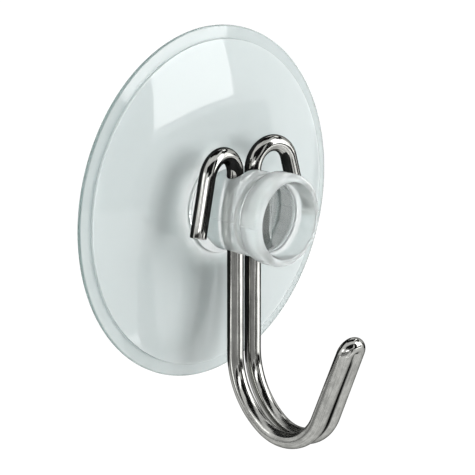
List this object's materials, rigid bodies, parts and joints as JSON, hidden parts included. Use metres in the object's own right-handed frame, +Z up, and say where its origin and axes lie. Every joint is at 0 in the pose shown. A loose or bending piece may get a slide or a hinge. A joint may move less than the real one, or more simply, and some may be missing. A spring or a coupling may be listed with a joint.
{
  "type": "suction cup hook",
  "caption": "Clear suction cup with a hollow button head and a doubled bright wire hook threaded through its stem.",
  "frame": {"origin": "centre of the cup's rim, in the plane of the rim that meets the wall", "axes": "+Y out of the back of the cup, into the wall; the stem points along -Y; +Z up, so the hook hangs down along -Z; +X across the hook's two legs"},
  "size_m": [0.045, 0.0264, 0.0516],
  "materials": {
    "clear_soft_plastic": "clear gloss",
    "plated_wire": "bright plated"
  },
  "bodies": {
    "root": {"suction_cup": "clear_soft_plastic", "wire_hook": "plated_wire"}
  },
  "joints": []
}
